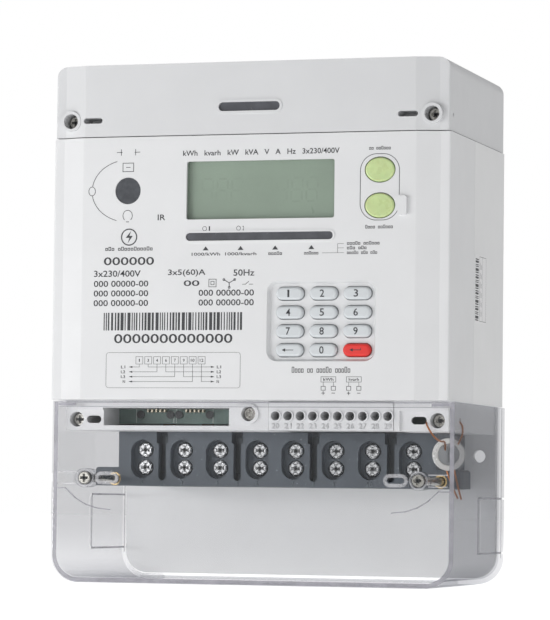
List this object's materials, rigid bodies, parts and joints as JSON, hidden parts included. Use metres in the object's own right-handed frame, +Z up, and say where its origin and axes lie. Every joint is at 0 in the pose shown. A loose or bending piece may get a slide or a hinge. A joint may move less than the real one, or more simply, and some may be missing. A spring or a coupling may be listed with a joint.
{
  "type": "prepaid electricity meter",
  "caption": "Wall-mounted three-phase prepaid energy meter: bevelled grey case with display, keypad and scroll buttons above a clear terminal cover over a screw terminal block.",
  "frame": {"origin": "middle of the footprint, on the surface the meter stands on", "axes": "+Z up, the front faces -Y, +X to the right seen from the front"},
  "size_m": [0.177, 0.099, 0.22],
  "materials": {
    "case_plastic": "fine matt moulded polycarbonate, light grey",
    "clear_plastic": "clear polished polycarbonate",
    "smoke_plastic": "smoked acrylic",
    "window_plastic": "clear lens with a hard coat",
    "lcd_glass": "grey-green reflective display glass",
    "white_plastic": "white moulded plastic",
    "block_plastic": "dark grey glass-filled moulding",
    "circuit_board": "green solder mask",
    "zinc_steel": "bright zinc plated",
    "nickel_steel": "nickel plated",
    "brass": "turned brass",
    "copper": "bare copper",
    "magnet_steel": "plain steel",
    "key_rubber": "soft touch silicone, light grey",
    "enter_rubber": "soft touch silicone, red",
    "button_plastic": "translucent green",
    "gasket_rubber": "black cellular rubber",
    "component_black": "black moulded component",
    "component_blue": "sleeved component",
    "label_film": "printed polyester film",
    "led_resin": "clear resin",
    "seal_clear": "clear polycarbonate",
    "seal_grey": "grey nylon"
  },
  "bodies": {
    "housing": {"auxiliary_screws": "nickel_steel", "auxiliary_terminals": "white_plastic", "backup_battery": "component_blue", "battery_holder": "white_plastic", "board_screws": "zinc_steel", "busbars": "copper", "button_switches": "component_black", "buzzer": "component_black", "capacitors": "component_blue", "cover_gasket": "gasket_rubber", "cover_screws": "nickel_steel", "current_transformers": "component_black", "display_window": "window_plastic", "indicator_leds": "led_resin", "indicator_lens": "smoke_plastic", "keypad_mat": "key_rubber", "lcd_backlight": "white_plastic", "lcd_panel": "lcd_glass", "main_board": "circuit_board", "main_cover": "case_plastic", "modem_module": "component_black", "optical_port_lens": "smoke_plastic", "optical_port_magnet": "magnet_steel", "pin_headers": "brass", "power_board": "circuit_board", "power_transformer": "component_black", "rear_base": "case_plastic", "relays": "component_black", "seal_body": "seal_clear", "seal_core": "seal_grey", "seal_wire_front": "copper", "seal_wire_side": "copper", "service_screw": "nickel_steel", "side_label": "label_film", "terminal_block": "block_plastic", "terminal_clamps": "brass", "terminal_screws_lower": "zinc_steel", "terminal_screws_upper": "zinc_steel", "threaded_inserts": "brass", "voltage_links": "brass"},
    "key_0": {"key_0": "key_rubber"},
    "key_1": {"key_1": "key_rubber"},
    "key_2": {"key_2": "key_rubber"},
    "key_3": {"key_3": "key_rubber"},
    "key_4": {"key_4": "key_rubber"},
    "key_5": {"key_5": "key_rubber"},
    "key_6": {"key_6": "key_rubber"},
    "key_7": {"key_7": "key_rubber"},
    "key_8": {"key_8": "key_rubber"},
    "key_9": {"key_9": "key_rubber"},
    "key_back": {"key_back": "key_rubber"},
    "key_enter": {"key_enter": "enter_rubber"},
    "button_up": {"button_up": "button_plastic"},
    "button_down": {"button_down": "button_plastic"},
    "top_hood": {"top_cover": "case_plastic", "lamp_lens": "smoke_plastic", "top_cover_screws": "nickel_steel"},
    "terminal_hatch": {"terminal_cover": "clear_plastic", "terminal_cover_screws": "nickel_steel"},
    "hanger": {"hanger": "zinc_steel"}
  },
  "joints": [
    {"name": "key_0_press", "type": "slide", "parent": "housing", "child": "key_0", "axis": [0, 1, 0], "range_m": [0, 0.0012], "stiffness_N_per_m": 800},
    {"name": "key_1_press", "type": "slide", "parent": "housing", "child": "key_1", "axis": [0, 1, 0], "range_m": [0, 0.0012], "stiffness_N_per_m": 800},
    {"name": "key_2_press", "type": "slide", "parent": "housing", "child": "key_2", "axis": [0, 1, 0], "range_m": [0, 0.0012], "stiffness_N_per_m": 800},
    {"name": "key_3_press", "type": "slide", "parent": "housing", "child": "key_3", "axis": [0, 1, 0], "range_m": [0, 0.0012], "stiffness_N_per_m": 800},
    {"name": "key_4_press", "type": "slide", "parent": "housing", "child": "key_4", "axis": [0, 1, 0], "range_m": [0, 0.0012], "stiffness_N_per_m": 800},
    {"name": "key_5_press", "type": "slide", "parent": "housing", "child": "key_5", "axis": [0, 1, 0], "range_m": [0, 0.0012], "stiffness_N_per_m": 800},
    {"name": "key_6_press", "type": "slide", "parent": "housing", "child": "key_6", "axis": [0, 1, 0], "range_m": [0, 0.0012], "stiffness_N_per_m": 800},
    {"name": "key_7_press", "type": "slide", "parent": "housing", "child": "key_7", "axis": [0, 1, 0], "range_m": [0, 0.0012], "stiffness_N_per_m": 800},
    {"name": "key_8_press", "type": "slide", "parent": "housing", "child": "key_8", "axis": [0, 1, 0], "range_m": [0, 0.0012], "stiffness_N_per_m": 800},
    {"name": "key_9_press", "type": "slide", "parent": "housing", "child": "key_9", "axis": [0, 1, 0], "range_m": [0, 0.0012], "stiffness_N_per_m": 800},
    {"name": "key_back_press", "type": "slide", "parent": "housing", "child": "key_back", "axis": [0, 1, 0], "range_m": [0, 0.0012], "stiffness_N_per_m": 800},
    {"name": "key_enter_press", "type": "slide", "parent": "housing", "child": "key_enter", "axis": [0, 1, 0], "range_m": [0, 0.0012], "stiffness_N_per_m": 800},
    {"name": "button_up_press", "type": "slide", "parent": "housing", "child": "button_up", "axis": [0, 1, 0], "range_m": [0, 0.0012], "stiffness_N_per_m": 800},
    {"name": "button_down_press", "type": "slide", "parent": "housing", "child": "button_down", "axis": [0, 1, 0], "range_m": [0, 0.0012], "stiffness_N_per_m": 800},
    {"name": "top_hood_removal", "type": "slide", "parent": "housing", "child": "top_hood", "axis": [0, -1, 0], "range_m": [0, 0.05]},
    {"name": "terminal_hatch_removal", "type": "slide", "parent": "housing", "child": "terminal_hatch", "axis": [0, -1, 0], "range_m": [0, 0.06]},
    {"name": "hanger_slide", "type": "slide", "parent": "housing", "child": "hanger", "axis": [0, 0, 1], "range_m": [0, 0.018]}
  ]
}
